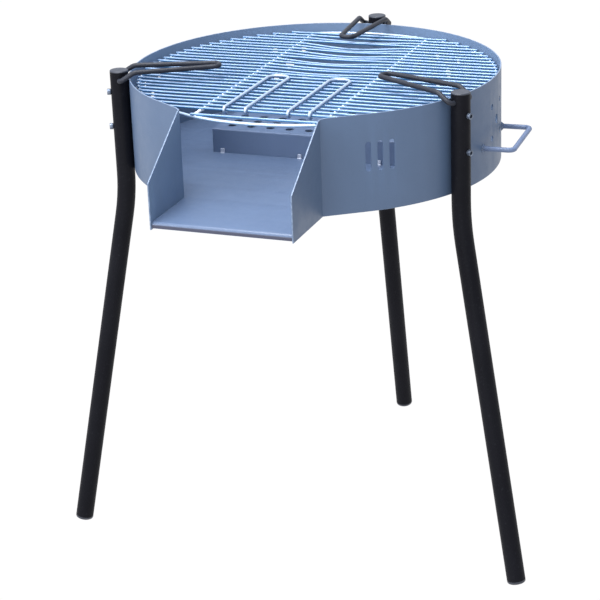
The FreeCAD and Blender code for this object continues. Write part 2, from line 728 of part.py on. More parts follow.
bars = []
for k, side in enumerate((-1, 1)):
    off = size("cross_bar_offset")
    half = math.sqrt(size("grate_ring_radius") ** 2 - off**2) - 1.7
    c = doc.addObject("Part::Cylinder", "cross_bar_%d" % (k + 1))
    bind(c, "Radius", "@ring_wire_radius@")
    bind(c, "Height", "2 * (sqrt(@grate_ring_radius@^2 - @cross_bar_offset@^2) - 1.7)")
    c.Placement = Placement(Vector(gx + side * off, gy - half, ring_z), Rotation(Vector(0, 0, 1), Vector(0, 1, 0)))
    bars.append(c)
group("grate_cross_bars", bars)

# ---------------------------------------------------------------- folding handles hooked on the pivot rung
hook = size("rung_radius") + size("pivot_gap") + size("loop_wire_radius")
for label, key in (("grate_handle_left", "loop_left_x"), ("grate_handle_right", "loop_right_x")):
    half = size("loop_half_width")
    reach = size("loop_length")
    wrap = math.radians(-35.0)
    # the frame of the loop: its origin is on the pivot rung's axis, Y runs along the wires

    def at(x, angle):
        return Vector(x, hook * math.cos(angle), hook * math.sin(angle))

    edges = []
    for x, turn in ((-half, 1), (half, -1)):
        tip = at(x, wrap)
        back = at(x, math.radians(-162.0))
        top = at(x, math.radians(90.0))
        piece = Part.Arc(tip, back, top) if turn > 0 else Part.Arc(top, back, tip)
        edges.append(piece.toShape())
    e, run = rounded_path(
        [(-half, 0, hook), (-half, reach, hook), (half, reach, hook), (half, 0, hook)],
        [size("loop_corner"), size("loop_corner")],
    )
    chain = [edges[0]] + e + [edges[1]]
    wrapped = 2 * hook * math.radians(360.0 - 90.0 - 35.0)
    rod(
        label,
        chain,
        run + wrapped,
        "@loop_wire_radius@",
        size("loop_wire_radius"),
        Placement(Vector(size(key), size("rung_first") + axis_y, rung_z), Rotation()),
    )

# ---------------------------------------------------------------- pan supports, hairpins hinged in the leg tops
hz = size("support_hinge_height")
sw_, lv = size("support_half_width"), size("support_level")
rise = math.radians(size("support_rise_angle"))
kink = la - (lv - hz) / math.tan(rise)
tip_r, tip_w, start = size("support_tip_radius"), size("support_tip_half"), size("support_rod_start")
for name, az, text in LEGS:
    pts = [
        (la, start, hz),
        (la, sw_, hz),
        (kink, sw_, lv),
        (tip_r, tip_w, lv),
        (tip_r, -tip_w, lv),
        (kink, -sw_, lv),
        (la, -sw_, hz),
        (la, -start, hz),
    ]
    e, length = rounded_path(pts, [8.0, 18.0, 9.5, 9.5, 18.0, 8.0])
    rod("pan_support_" + name, e, length, "@rod_radius@", size("rod_radius"), about_axis(az))

# ---------------------------------------------------------------- checks and export
doc.recompute()
bad = [o.Name for o in doc.Objects if "Invalid" in o.State or "Error" in o.State]
if bad:
    raise RuntimeError("failed objects: %s" % bad)
os.makedirs("parts", exist_ok=True)
low, high = [1e9] * 3, [-1e9] * 3
for node in NODES:
    shape = node.Shape
    if shape.isNull() or not shape.isValid():
        raise RuntimeError("bad shape: %s" % node.Label)
    box = shape.optimalBoundingBox(False) if hasattr(shape, "optimalBoundingBox") else shape.BoundBox
    for i, (a, b) in enumerate(((box.XMin, box.XMax), (box.YMin, box.YMax), (box.ZMin, box.ZMax))):
        low[i], high[i] = min(low[i], a), max(high[i], b)
    shape.exportStep("parts/%s.step" % node.Label)
    print("%-28s solids %2d volume %10.1f" % (node.Label, len(shape.Solids), shape.Volume))
print("box", [round(v, 3) for v in low], [round(v, 3) for v in high], "nodes", len(NODES))
print("ring_z", ring_z, "rung_z", rung_z, "kink", kink, "tilt", TILT, "foot", foot_end, "rungs", len(rung_ys))
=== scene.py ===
import bpy
import bmesh
import math
from mathutils import Matrix, Vector, noise
from mathutils.geometry import delaunay_2d_cdt


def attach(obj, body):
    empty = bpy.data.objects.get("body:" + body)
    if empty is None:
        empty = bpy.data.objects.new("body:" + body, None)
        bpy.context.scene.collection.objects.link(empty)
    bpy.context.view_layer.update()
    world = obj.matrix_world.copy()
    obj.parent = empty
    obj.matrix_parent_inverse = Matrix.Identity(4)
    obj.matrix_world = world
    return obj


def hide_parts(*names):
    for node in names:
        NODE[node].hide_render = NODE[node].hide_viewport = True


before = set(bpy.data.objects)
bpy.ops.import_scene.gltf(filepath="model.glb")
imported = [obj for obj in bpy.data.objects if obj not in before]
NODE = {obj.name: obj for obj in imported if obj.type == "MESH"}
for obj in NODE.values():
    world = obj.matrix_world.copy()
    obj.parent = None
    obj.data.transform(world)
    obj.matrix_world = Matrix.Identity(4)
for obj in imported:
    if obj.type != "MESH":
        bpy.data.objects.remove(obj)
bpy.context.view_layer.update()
scene = bpy.context.scene

# ------------------------------------------------------------------ sizes, metres, in the drum's own frame
AY = -0.01742
R, T = 0.300, 0.002
RIM, BOTTOM = 0.785, 0.633
BETA = math.radians(34.63)
HALF, REACH, FRONT_TOP = 0.114, 0.409, 0.705
FOLD = 0.003
FLOOR, GAP = 0.645, 0.0003
RING_Z, RUNG_Z = 0.76905, 0.7734
RING_R, RING_W, RUNG_W, TIP_R = 0.288, 0.0025, 0.0020, 0.291
GX, GY = 0.003, 0.002
LEGS = {"front_left": -154.6, "front_right": -25.4, "rear": 90.0}
SCREW_HIGH, SCREW_LOW = 0.7615, 0.704
HEAD_SEAT = 0.3301
HINGE_Z = 0.782


# ------------------------------------------------------------------ small tools
def polar(azimuth, rho, t, z):
    a = math.radians(azimuth)
    return Vector((rho * math.cos(a) - t * math.sin(a), rho * math.sin(a) + t * math.cos(a) + AY, z))


def rnd(*seed):
    """Steady value in -1..1 for a set of numbers."""
    v = Vector([float(s) * 12.9898 + 4.1 * i for i, s in enumerate((list(seed) + [0, 0, 0])[:3])])
    return max(-1.0, min(1.0, 2.0 * noise.noise(v * 0.731)))


def piece(name, verts, faces, body, mats, smooth=True, replaces=(), mat_index=None, sharp=40.0):
    me = bpy.data.meshes.new(name)
    me.from_pydata([tuple(v) for v in verts], [], faces)
    me.validate()
    bm = bmesh.new()
    bm.from_mesh(me)
    if mat_index is not None and len(mat_index) == len(bm.faces):
        for f, i in zip(bm.faces, mat_index):
            f.material_index = i
    bmesh.ops.recalc_face_normals(bm, faces=bm.faces)
    limit = math.radians(sharp)
    for f in bm.faces:
        f.smooth = smooth
    for e in bm.edges:
        if len(e.link_faces) == 2 and e.calc_face_angle(0.0) > limit:
            e.smooth = False
    bm.to_mesh(me)
    bm.free()
    for m in mats:
        me.materials.append(m)
    ob = bpy.data.objects.new(name, me)
    scene.collection.objects.link(ob)
    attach(ob, body)
    if replaces:
        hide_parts(*replaces)
    return ob


class Build:
    """Collects several closed forms into one piece."""

    def __init__(self):
        self.v, self.f, self.m = [], [], []

    def add(self, verts, faces, mat=0, place=None):
        n = len(self.v)
        self.v += [place @ Vector(v) if place is not None else Vector(v) for v in verts]
        self.f += [tuple(i + n for i in f) for f in faces]
        self.m += [mat] * len(faces)


def rounded(points, radii, step=0.12):
    """Points along straight runs and tangent arcs."""
    pts = [Vector(p) for p in points]
    out = [pts[0]]
    for i in range(1, len(pts) - 1):
        a = (pts[i - 1] - pts[i]).normalized()
        b = (pts[i + 1] - pts[i]).normalized()
        turn = math.pi - a.angle(b)
        r = radii[i - 1]
        reach = r * math.tan(turn / 2)
        start = pts[i] + a * reach
        centre = pts[i] + (a + b).normalized() * (r / math.cos(turn / 2))
        u = (start - centre).normalized()
        axis = a.cross(b)
        if axis.length < 1e-9:
            out.append(pts[i])
            continue
        axis.normalize()
        n = max(3, int(math.ceil(turn / step)))
        for k in range(n + 1):
            out.append(centre + (Matrix.Rotation(-turn * k / n, 3, axis) @ u) * r)
    out.append(pts[-1])
    clean = [out[0]]
    for p in out[1:]:
        if (p - clean[-1]).length > 1e-5:
            clean.append(p)
    return clean


def divide(path, longest):
    """Adds points on long straight runs so that a tube has even faces."""
    out = [path[0]]
    for a, b in zip(path, path[1:]):
        n = max(1, int(math.ceil((b - a).length / longest)))
        for k in range(1, n + 1):
            out.append(a.lerp(b, k / n))
    return out


def tube(path, radius, sides=16, closed=False, chamfer=0.0004, up=None, wobble=0.0):
    """Tube round a line of points, with chamfered ends."""
    n = len(path)
    if closed:
        tang = [(path[(i + 1) % n] - path[i - 1]).normalized() for i in range(n)]
    else:
        tang = [(path[min(i + 1, n - 1)] - path[max(i - 1, 0)]).normalized() for i in range(n)]
    ref = up or (Vector((0, 0, 1)) if abs(tang[0].z) < 0.9 else Vector((1, 0, 0)))
    nrm = (ref - tang[0] * ref.dot(tang[0])).normalized()
    rings = []
    for i in range(n):
        nrm = (nrm - tang[i] * nrm.dot(tang[i])).normalized()
        rings.append((path[i], nrm.copy(), tang[i].cross(nrm)))
    rad = [radius] * n
    if not closed and chamfer > 0:
        c = min(chamfer, radius * 0.6)
        p0, a0, b0 = rings[0]
        p1, a1, b1 = rings[-1]
        rings = (
            [(p0, a0, b0), (p0 + tang[0] * c * 0.35, a0, b0), (p0 + tang[0] * c, a0, b0)]
            + rings[1:-1]
            + [(p1 - tang[-1] * c, a1, b1), (p1 - tang[-1] * c * 0.35, a1, b1), (p1, a1, b1)]
        )
        rad = [radius - c, radius - c * 0.3, radius] + [radius] * (n - 2) + [radius, radius - c * 0.3, radius - c]
    verts, faces = [], []
    for i, ((p, a, b), r) in enumerate(zip(rings, rad)):
        for k in range(sides):
            t = 2 * math.pi * k / sides
            rr = r * (1 + wobble * rnd(i * 0.37, k * 0.9, 3.0)) if wobble else r
            verts.append(p + a * (rr * math.cos(t)) + b * (rr * math.sin(t)))
    m = len(rings)
    for i in range(m if closed else m - 1):
        j = (i + 1) % m
        for k in range(sides):
            q = (k + 1) % sides
            faces.append((i * sides + k, i * sides + q, j * sides + q, j * sides + k))
    if not closed:
        faces.append(tuple(range(sides - 1, -1, -1)))
        faces.append(tuple((m - 1) * sides + k for k in range(sides)))
    return verts, faces


def lathe(profile, sides=48, radius_of=None):
    """Turned form about local Z; profile is (radius, height) from one pole to the other.
    radius_of(index, angle, radius, height) may shape the radius and height."""
    verts, faces, rows = [], [], []
    for i, (r, h) in enumerate(profile):
        if r < 1e-7:
            rows.append([len(verts)])
            verts.append(Vector((0, 0, h)))
            continue
        row = []
        for k in range(sides):
            t = 2 * math.pi * k / sides
            rr, hh = (radius_of(i, t, r, h) if radius_of else (r, h))
            row.append(len(verts))
            verts.append(Vector((rr * math.cos(t), rr * math.sin(t), hh)))
        rows.append(row)
    for a, b in zip(rows, rows[1:]):
        for k in range(sides):
            q = (k + 1) % sides
            if len(a) == 1 and len(b) == 1:
                continue
            if len(a) == 1:
                faces.append((a[0], b[k], b[q]))
            elif len(b) == 1:
                faces.append((a[k], a[q], b[0]))
            else:
                faces.append((a[k], a[q], b[q], b[k]))
    return verts, faces


def radial_place(azimuth, rho, z):
    """Local Z along the outward radius at an azimuth."""
    a = math.radians(azimuth)
    out = Vector((math.cos(a), math.sin(a), 0))
    side = Vector((-math.sin(a), math.cos(a), 0))
    up = Vector((0, 0, 1))
    p = polar(azimuth, rho, 0, z)
    return Matrix(((side.x, up.x, out.x, p.x), (side.y, up.y, out.y, p.y), (side.z, up.z, out.z, p.z), (0, 0, 0, 1)))


# ------------------------------------------------------------------ materials
def new_material(name):
    m = bpy.data.materials.new(name)
    m.use_nodes = True
    nt = m.node_tree
    for n in list(nt.nodes):
        nt.nodes.remove(n)
    out = nt.nodes.new("ShaderNodeOutputMaterial")
    bsdf = nt.nodes.new("ShaderNodeBsdfPrincipled")
    nt.links.new(bsdf.outputs[0], out.inputs[0])
    coord = nt.nodes.new("ShaderNodeTexCoord")
    return m, nt, bsdf, coord.outputs["Object"]


def scaled(nt, vec, sx, sy, sz):
    mp = nt.nodes.new("ShaderNodeMapping")
    mp.inputs["Scale"].default_value = (sx, sy, sz)
    nt.links.new(vec, mp.inputs["Vector"])
    return mp.outputs[0]


def noise_of(nt, vec, scale, detail=3.0, rough=0.55, distortion=0.0):
    n = nt.nodes.new("ShaderNodeTexNoise")
    n.inputs["Scale"].default_value = scale
    n.inputs["Detail"].default_value = detail
    n.inputs["Roughness"].default_value = rough
    n.inputs["Distortion"].default_value = distortion
    nt.links.new(vec, n.inputs["Vector"])
    return n.outputs["Fac"]


def ramp(nt, fac, stops):
    r = nt.nodes.new("ShaderNodeValToRGB")
    els = r.color_ramp.elements
    while len(els) < len(stops):
        els.new(0.5)
    for e, (p, c) in zip(els, stops):
        e.position = p
        e.color = (c[0], c[1], c[2], 1.0) if isinstance(c, (tuple, list)) else (c, c, c, 1.0)
    nt.links.new(fac, r.inputs[0])
    return r.outputs[0]


def mix(nt, a, b, fac, mode="MIX"):
    n = nt.nodes.new("ShaderNodeMix")
    n.data_type = "RGBA"
    n.blend_type = mode
    for sock, val in ((n.inputs[0], fac), (n.inputs[6], a), (n.inputs[7], b)):
        if isinstance(val, (int, float)):
            sock.default_value = val if sock.type == "VALUE" else (val, val, val, 1)
        elif isinstance(val, (tuple, list)):
            sock.default_value = (val[0], val[1], val[2], 1.0)
        else:
            nt.links.new(val, sock)
    return n.outputs[2]


def math_node(nt, op, a, b=None):
    n = nt.nodes.new("ShaderNodeMath")
    n.operation = op
    for sock, val in ((n.inputs[0], a), (n.inputs[1], b)):
        if val is None:
            continue
        if isinstance(val, (int, float)):
            sock.default_value = val
        else:
            nt.links.new(val, sock)
    return n.outputs[0]


def bump(nt, bsdf, height, strength, distance):
    b = nt.nodes.new("ShaderNodeBump")
    b.inputs["Strength"].default_value = strength
    b.inputs["Distance"].default_value = distance
    nt.links.new(height, b.inputs["Height"])
    nt.links.new(b.outputs[0], bsdf.inputs["Normal"])
    return b


PAINT = (0.094, 0.134, 0.220)


def paint_material(name, gain=1.0, rough=0.42, tint=(1.0, 1.0, 1.0)):
    m, nt, bsdf, vec = new_material(name)
    c = tuple(PAINT[i] * gain * tint[i] for i in range(3))
    cloud = noise_of(nt, vec, 5.0, 4.0, 0.6)
    base = mix(nt, tuple(v * 0.93 for v in c), tuple(min(1, v * 1.07) for v in c), ramp(nt, cloud, [(0.3, 0.0), (0.7, 1.0)]))
    streak = noise_of(nt, scaled(nt, vec, 26.0, 26.0, 1.3), 1.0, 3.0, 0.5)
    base = mix(nt, base, tuple(min(1, v * 1.12) for v in c), math_node(nt, "MULTIPLY", ramp(nt, streak, [(0.55, 0.0), (0.75, 1.0)]), 0.45))
    speck = noise_of(nt, vec, 420.0, 2.0, 0.6)
    base = mix(nt, base, tuple(v * 0.86 for v in c), math_node(nt, "MULTIPLY", ramp(nt, speck, [(0.60, 0.0), (0.72, 1.0)]), 0.35))
    nt.links.new(base, bsdf.inputs["Base Color"])
    wear = noise_of(nt, vec, 38.0, 5.0, 0.65)
    nt.links.new(ramp(nt, wear, [(0.3, rough - 0.05), (0.7, rough + 0.09)]), bsdf.inputs["Roughness"])
    bsdf.inputs["Metallic"].default_value = 0.0
    bsdf.inputs["Specular IOR Level"].default_value = 0.42
    peel = noise_of(nt, vec, 950.0, 2.0, 0.5)
    dent = noise_of(nt, vec, 16.0, 2.0, 0.5)
    b = bump(nt, bsdf, peel, 0.22, 0.00012)
    b2 = nt.nodes.new("ShaderNodeBump")
    b2.inputs["Strength"].default_value = 0.10
    b2.inputs["Distance"].default_value = 0.0015
    nt.links.new(dent, b2.inputs["Height"])
    nt.links.new(b2.outputs[0], b.inputs["Normal"])
    return m


def edge_highlight_material():
    m, nt, bsdf, vec = new_material("cut_edge_paint_and_highlight")
    # painted highlight, partly real: this edge paint is paler than the sheet paint, both for thin paint on the cut edge
    # and as a painted highlight along the edge
    n = noise_of(nt, vec, 160.0, 4.0, 0.7)
    col = mix(nt, (0.105, 0.15, 0.235), (0.22, 0.285, 0.40), ramp(nt, n, [(0.35, 0.0), (0.65, 1.0)]))
    nt.links.new(col, bsdf.inputs["Base Color"])
    bsdf.inputs["Roughness"].default_value = 0.38
    bsdf.inputs["Metallic"].default_value = 0.0
    bump(nt, bsdf, noise_of(nt, vec, 700.0, 2.0), 0.3, 0.0001)
    return m


def black_tube_material():
    m, nt, bsdf, vec = new_material("black_powder_coat")
    n = noise_of(nt, vec, 9.0, 4.0, 0.6)
    col = mix(nt, (0.0046, 0.0048, 0.0072), (0.0074, 0.0076, 0.0108), ramp(nt, n, [(0.3, 0.0), (0.7, 1.0)]))
    dust = noise_of(nt, vec, 210.0, 5.0, 0.7)
    col = mix(nt, col, (0.032, 0.034, 0.042), math_node(nt, "MULTIPLY", ramp(nt, dust, [(0.58, 0.0), (0.76, 1.0)]), 0.35))
    nt.links.new(col, bsdf.inputs["Base Color"])
    nt.links.new(ramp(nt, noise_of(nt, vec, 55.0, 4.0), [(0.3, 0.40), (0.7, 0.52)]), bsdf.inputs["Roughness"])
    bsdf.inputs["Specular IOR Level"].default_value = 0.085
    bump(nt, bsdf, noise_of(nt, vec, 850.0, 2.0, 0.5), 0.35, 0.00018)
    return m


def black_plastic_material():
    m, nt, bsdf, vec = new_material("black_moulded_plastic")
    n = noise_of(nt, vec, 120.0, 4.0, 0.6)
    col = mix(nt, (0.020, 0.024, 0.036), (0.034, 0.039, 0.056), ramp(nt, n, [(0.35, 0.0), (0.7, 1.0)]))
    nt.links.new(col, bsdf.inputs["Base Color"])
    bsdf.inputs["Roughness"].default_value = 0.40
    bsdf.inputs["Specular IOR Level"].default_value = 0.62
    bump(nt, bsdf, noise_of(nt, vec, 1400.0, 2.0, 0.6), 0.30, 0.0001)
    return m


def rod_material():
    m, nt, bsdf, vec = new_material("dark_rod_paint")
    n = noise_of(nt, vec, 30.0, 4.0, 0.6)
    col = mix(nt, (0.0135, 0.0155, 0.023), (0.022, 0.0245, 0.035), ramp(nt, n, [(0.3, 0.0), (0.7, 1.0)]))
    worn = noise_of(nt, vec, 260.0, 5.0, 0.7)
    col = mix(nt, col, (0.044, 0.048, 0.062), math_node(nt, "MULTIPLY", ramp(nt, worn, [(0.60, 0.0), (0.74, 1.0)]), 0.5))
    nt.links.new(col, bsdf.inputs["Base Color"])
    nt.links.new(ramp(nt, worn, [(0.3, 0.36), (0.7, 0.52)]), bsdf.inputs["Roughness"])
    bsdf.inputs["Specular IOR Level"].default_value = 0.30
    bump(nt, bsdf, noise_of(nt, vec, 700.0, 3.0, 0.6), 0.35, 0.00016)
    return m


def zinc_material(name="bright_zinc_wire", base=(0.235, 0.335, 0.50), rough=0.34, painted_under_shade=(0.048, 0.225, 0.45), level=0.47, amount=0.92, metal=0.45):
    m, nt, bsdf, vec = new_material(name)
    n = noise_of(nt, vec, 70.0, 4.0, 0.6)
    col = mix(nt, tuple(v * 0.84 for v in base), base, ramp(nt, n, [(0.3, 0.0), (0.65, 1.0)]))
    dull = noise_of(nt, vec, 600.0, 3.0, 0.7)
    col = mix(nt, col, tuple(v * 0.62 for v in base), math_node(nt, "MULTIPLY", ramp(nt, dull, [(0.60, 0.0), (0.75, 1.0)]), 0.4))
    # painted shade and reflection: a blue-green tint on the lower, downward-facing half of the wires stands in for
    # shade and the blue paint reflected from below, chosen to match the reference's look; it is not a known finish
    geo = nt.nodes.new("ShaderNodeNewGeometry")
    part = nt.nodes.new("ShaderNodeSeparateXYZ")
    nt.links.new(geo.outputs["Normal"], part.inputs[0])
    mrn = nt.nodes.new("ShaderNodeMapRange")
    mrn.inputs["From Min"].default_value = level
    mrn.inputs["From Max"].default_value = level - 0.5
    nt.links.new(part.outputs["Z"], mrn.inputs["Value"])
    col = mix(nt, col, painted_under_shade, math_node(nt, "MULTIPLY", mrn.outputs[0], amount))
    nt.links.new(col, bsdf.inputs["Base Color"])
    bsdf.inputs["Metallic"].default_value = metal
    nt.links.new(ramp(nt, dull, [(0.3, rough - 0.05), (0.7, rough + 0.12)]), bsdf.inputs["Roughness"])
    bump(nt, bsdf, noise_of(nt, vec, 1300.0, 2.0, 0.6), 0.25, 0.0001)
    return m


def screw_material():
    m, nt, bsdf, vec = new_material("plated_screw_steel")
    n = noise_of(nt, vec, 180.0, 4.0, 0.6)
    col = mix(nt, (0.09, 0.11, 0.15), (0.20, 0.235, 0.30), ramp(nt, n, [(0.35, 0.0), (0.65, 1.0)]))
    nt.links.new(col, bsdf.inputs["Base Color"])
    bsdf.inputs["Metallic"].default_value = 0.85
    bsdf.inputs["Roughness"].default_value = 0.36
    bump(nt, bsdf, noise_of(nt, vec, 1500.0, 2.0, 0.6), 0.25, 0.0001)
    return m


def weld_material(name="weld_bead_paint", gain=1.0):
    m, nt, bsdf, vec = new_material(name)
    c = tuple(v * gain for v in PAINT)
    n = noise_of(nt, vec, 420.0, 4.0, 0.7)
    col = mix(nt, tuple(v * 0.7 for v in c), tuple(min(1, v * 1.5) for v in c), ramp(nt, n, [(0.35, 0.0), (0.7, 1.0)]))
    nt.links.new(col, bsdf.inputs["Base Color"])
    bsdf.inputs["Roughness"].default_value = 0.40
    bump(nt, bsdf, n, 0.6, 0.0004)
    return m


M_PAINT = paint_material("blue_grey_sheet_paint", gain=0.94, tint=(0.92, 1.0, 1.02))
M_FLOOR = paint_material("blue_grey_floor_paint", gain=1.04, rough=0.36)


def paint_forward_shade(m, tint):
    """painted shade: multiplies the paint by tint where the surface faces straight forward (the folded lip)"""
    nt = m.node_tree
    bsdf = next(n for n in nt.nodes if n.type == "BSDF_PRINCIPLED")
    src = bsdf.inputs["Base Color"].links[0].from_socket
    geo = nt.nodes.new("ShaderNodeNewGeometry")
    part = nt.nodes.new("ShaderNodeSeparateXYZ")
    nt.links.new(geo.outputs["True Normal"], part.inputs[0])
    mrn = nt.nodes.new("ShaderNodeMapRange")
    mrn.inputs["From Min"].default_value = -0.90
    mrn.inputs["From Max"].default_value = -0.985
    nt.links.new(part.outputs["Y"], mrn.inputs["Value"])
    mul = nt.nodes.new("ShaderNodeMix")
    mul.data_type = "RGBA"
    mul.blend_type = "MULTIPLY"
    nt.links.new(mrn.outputs[0], mul.inputs["Factor"])
    nt.links.new(src, mul.inputs["A"])
    mul.inputs["B"].default_value = (*tint, 1.0)
    nt.links.new(mul.outputs["Result"], bsdf.inputs["Base Color"])


# painted shade: the forward-facing lip face of the floor plate is darkened to a purple-grey
paint_forward_shade(M_FLOOR, (0.58, 0.44, 0.42))
# painted light: the same sheet paint at a higher gain for the band's inner face, standing in for light inside the drum
M_INNER_LIT = paint_material("blue_grey_inner_paint_painted_light", gain=1.38, rough=0.40, tint=(0.99, 1.04, 0.99))
M_TRAY = paint_material("blue_grey_tray_paint", gain=1.12, rough=0.40)
M_HANDLE = paint_material("blue_grey_handle_paint", gain=1.34, tint=(1.04, 1.0, 1.02))
M_EDGE_HIGHLIGHT = edge_highlight_material()
M_TUBE = black_tube_material()
M_PLASTIC = black_plastic_material()
M_ROD = rod_material()
M_WIRE = zinc_material()
# painted light: the ring wire gets a paler copy of the rungs' zinc so it reads bright despite lying in their shade
M_FRAME_LIT = zinc_material("zinc_frame_wire_painted_light", (0.50, 0.62, 0.78), 0.36, (0.17, 0.33, 0.52), 0.15, 0.8, 0.45)
# painted light: the cross wires and weld nuggets get a near-white, much paler copy of the zinc so they read bright
# where the rungs shade them
M_BAR_LIT = zinc_material("zinc_cross_wire_painted_light", (0.96, 0.97, 0.99), 0.40, (0.50, 0.62, 0.72), -0.2, 0.7, 0.05)
M_LOOP = zinc_material("bright_zinc_handle_wire", (0.50, 0.60, 0.75), 0.38, (0.15, 0.26, 0.43), 0.30, 0.8, 0.55)
M_SCREW = screw_material()
M_WELD = weld_material()
M_TAB = zinc_material("bright_tab_metal", (0.50, 0.54, 0.64), 0.46, (0.30, 0.34, 0.44), -0.2, 0.6, 0.35)


# ------------------------------------------------------------------ sheet pieces: a flat pattern wrapped on folded columns
def sheet(name, columns, boundary, holes, edge, body, mats, replaces, thickness=T, inner_mat=0):
    """columns: (s, outer point(v), inner point(v)) as functions of the second coordinate;
    boundary and holes are loops in the flat pattern (s, v), already set in by the edge rounding."""
    ss = [c[0] for c in columns]

    def locate(s, v, depth):
        if s <= ss[0]:
            i, f = 0, (s - ss[0]) / (ss[1] - ss[0])
        elif s >= ss[-1]:
            i, f = len(ss) - 2, (s - ss[-2]) / (ss[-1] - ss[-2])
        else:
            lo, hi = 0, len(ss) - 1
            while hi - lo > 1:
                mid = (lo + hi) // 2
                if ss[mid] <= s:
                    lo = mid
                else:
                    hi = mid
            i, f = lo, (s - ss[lo]) / (ss[lo + 1] - ss[lo])
        a = columns[i][1].lerp(columns[i][2], depth)
        b = columns[i + 1][1].lerp(columns[i + 1][2], depth)
        return columns[i][3](a.lerp(b, f) if 0 <= f <= 1 else a + (b - a) * f, v)

    def snap(loop):
        out = []
        for s, v in loop:
            k = min(range(len(ss)), key=lambda i: abs(ss[i] - s)) if len(ss) < 40 else None
            if k is None:
                lo, hi = 0, len(ss) - 1
                while hi - lo > 1:
                    mid = (lo + hi) // 2
                    if ss[mid] <= s:
                        lo = mid
                    else:
                        hi = mid
                k = lo if abs(ss[lo] - s) < abs(ss[hi] - s) else hi
            if abs(ss[k] - s) < 0.0004:
                s = ss[k]
            out.append((s, v))
        return out

    pts, edges = [], []

    def add_loop(loop):
        n = len(pts)
        pts.extend(Vector(p) for p in loop)
        m = len(loop)
        edges.extend((n + i, n + (i + 1) % m) for i in range(m))

    add_loop(boundary)
    for h in holes:
        add_loop(snap(h))
    lo_s, hi_s = min(p[0] for p in boundary), max(p[0] for p in boundary)
    lo_v, hi_v = min(p[1] for p in boundary), max(p[1] for p in boundary)
    for s in ss:
        if lo_s + 1e-5 < s < hi_s - 1e-5:
            # every upright line is cut to the boundary
            cross = []
            for i in range(len(boundary)):
                (s0, v0), (s1, v1) = boundary[i], boundary[(i + 1) % len(boundary)]
                if (s0 - s) * (s1 - s) < 0 and abs(s1 - s0) > 1e-12:
                    cross.append(v0 + (v1 - v0) * (s - s0) / (s1 - s0))
                elif abs(s0 - s) < 1e-9:
                    cross.append(v0)
            if len(cross) >= 2:
                n = len(pts)
                pts.append(Vector((s, min(cross))))
                pts.append(Vector((s, max(cross))))
                edges.append((n, n + 1))
    vs, es, fs, _, _, _ = delaunay_2d_cdt(pts, edges, [], 0, 1e-7)

    def within(p, loop):
        hit = False
        for i in range(len(loop)):
            (x0, y0), (x1, y1) = loop[i - 1], loop[i]
            if (y0 > p[1]) != (y1 > p[1]) and p[0] < x0 + (x1 - x0) * (p[1] - y0) / (y1 - y0):
                hit = not hit
        return hit

    cuts = [(min(p[0] for p in h), max(p[0] for p in h), snap(h)) for h in holes]
    keep = []
    for f in fs:
        c = sum((vs[i] for i in f), Vector((0, 0))) / len(f)
        if not within(c, boundary):
            continue
        if any(lo - 0.001 < c.x < hi + 0.001 and within(c, h) for lo, hi, h in cuts):
            continue
        keep.append(f)
    fs = keep
    n = len(vs)
    verts = [locate(v.x, v.y, 0.0) for v in vs] + [locate(v.x, v.y, 1.0) for v in vs]
    faces = [tuple(f) for f in fs] + [tuple(n + i for i in reversed(f)) for f in fs]
    mat = [0] * len(fs) + [inner_mat] * len(fs)
    # open edges of the pattern, in the direction of their face
    used = {}
    for f in fs:
        for i in range(len(f)):
            a, b = f[i], f[(i + 1) % len(f)]
            used[(a, b)] = used.get((a, b), 0) + 1
    nxt = {a: b for (a, b) in used if (b, a) not in used}
    prv = {b: a for a, b in nxt.items()}
    profile = ((0.65, 0.10), (1.0, 0.42), (1.0, 1.0), (1.0, -1.0), (1.0, -0.42), (0.65, -0.10))
    rows = {}
    for a, b in nxt.items():
        p = prv[a]
        d1 = (vs[a] - vs[p])
        d2 = (vs[b] - vs[a])
        if d1.length < 1e-9 or d2.length < 1e-9:
            nn = Vector((0, 0))
        else:
            d1.normalize()
            d2.normalize()
            n1, n2 = Vector((d1.y, -d1.x)), Vector((d2.y, -d2.x))
            nn = n1 + n2
            k = nn.length
            nn = nn / k if k > 1e-6 else n1
            c = max(0.45, nn.dot(n1))
            nn = nn / c
        row = []
        for out, dep in profile:
            depth = dep * edge if dep > 0 else thickness + dep * edge
            q = vs[a] + nn * (edge * out)
            row.append(len(verts))
            verts.append(locate(q.x, q.y, depth / thickness))
        rows[a] = [a] + row + [n + a]
    outer = set()
    start = min(nxt, key=lambda a: vs[a].x)
    walk = start
    while walk not in outer:
        outer.add(walk)
        walk = nxt[walk]
    # the outer boundary's edge faces take slot 1, the paler edge paint that is partly a painted highlight; hole edges
    # keep slot 0
    for a, b in nxt.items():
        ra, rb = rows[a], rows[b]
        for i in range(len(ra) - 1):
            faces.append((ra[i + 1], rb[i + 1], rb[i], ra[i]))
            mat.append(1 if a in outer else 0)
    return piece(name, verts, faces, body, mats, replaces=replaces, mat_index=mat, sharp=50.0)


def hole(s, v, r, n=32):
    return [(s + r * math.cos(2 * math.pi * k / n), v + r * math.sin(2 * math.pi * k / n)) for k in range(n)]


EDGE = 0.0004

# ---- drum band: right cheek, fold, straight, drum, straight, fold, left cheek
SIN, COS = math.sin(BETA), math.cos(BETA)
TURN = math.pi / 2 - BETA


